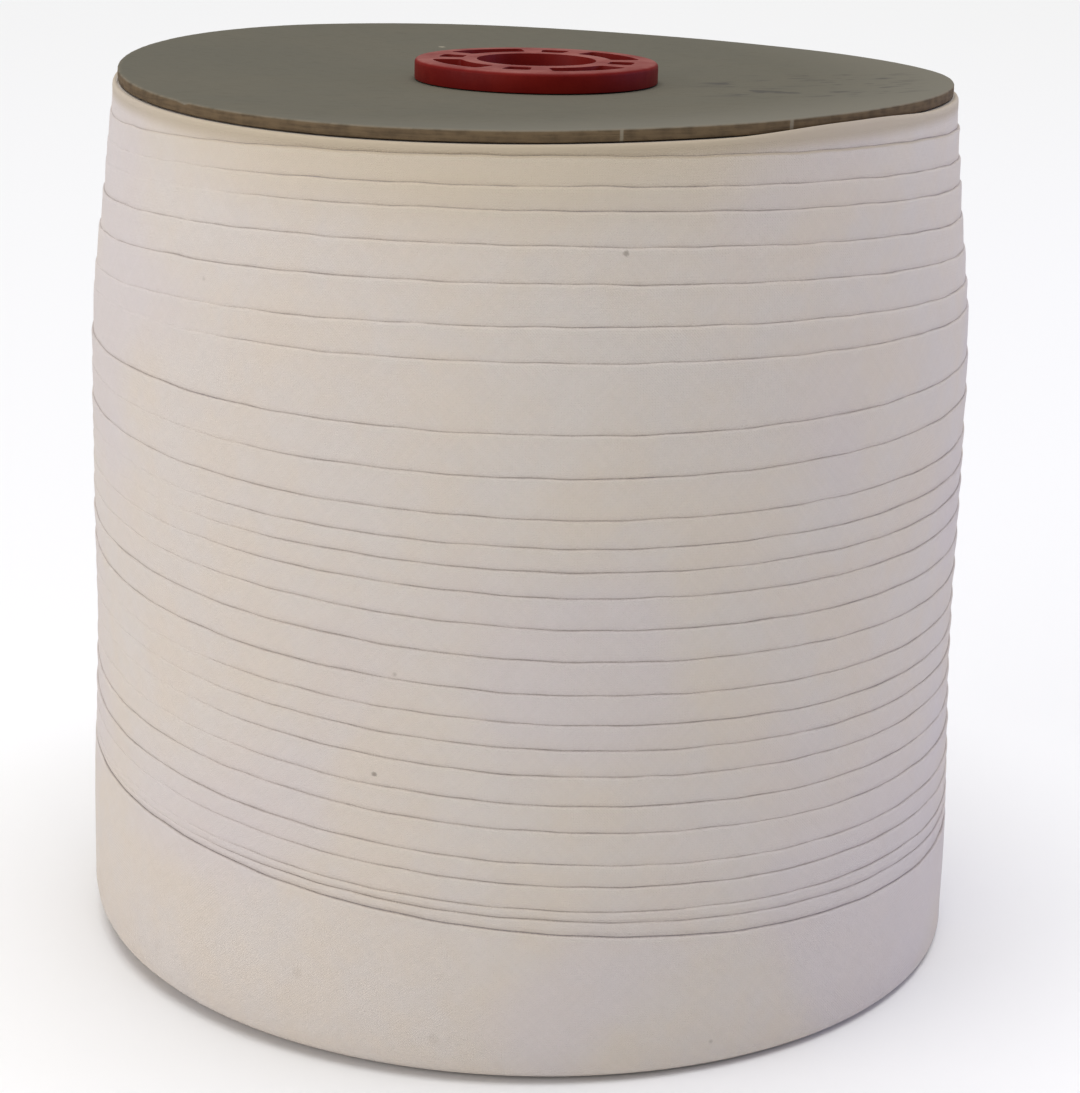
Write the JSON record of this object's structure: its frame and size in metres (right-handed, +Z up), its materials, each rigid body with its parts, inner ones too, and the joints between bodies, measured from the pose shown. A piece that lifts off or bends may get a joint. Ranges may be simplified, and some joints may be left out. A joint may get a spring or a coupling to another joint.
{
  "type": "roll of bias tape",
  "caption": "Large upright roll of flat woven bias tape, wound on the slant into a barrel, with a board disc and a slotted plastic plug on its upper end.",
  "frame": {"origin": "centre of the roll's flat lower end, on the surface it stands on", "axes": "+Z up along the roll's axis towards the plug, -Y towards the viewer of the picture, +X to the viewer's right"},
  "size_m": [0.2178, 0.2179, 0.2129],
  "materials": {
    "tape_cloth": "matt plain weave cut on the bias",
    "grey_board": "matt grey-brown board with a raw brown edge",
    "red_plastic": "satin moulded"
  },
  "bodies": {
    "root": {"tape_roll": "tape_cloth", "board_disc": "grey_board", "core_plug": "red_plastic"}
  },
  "joints": []
}
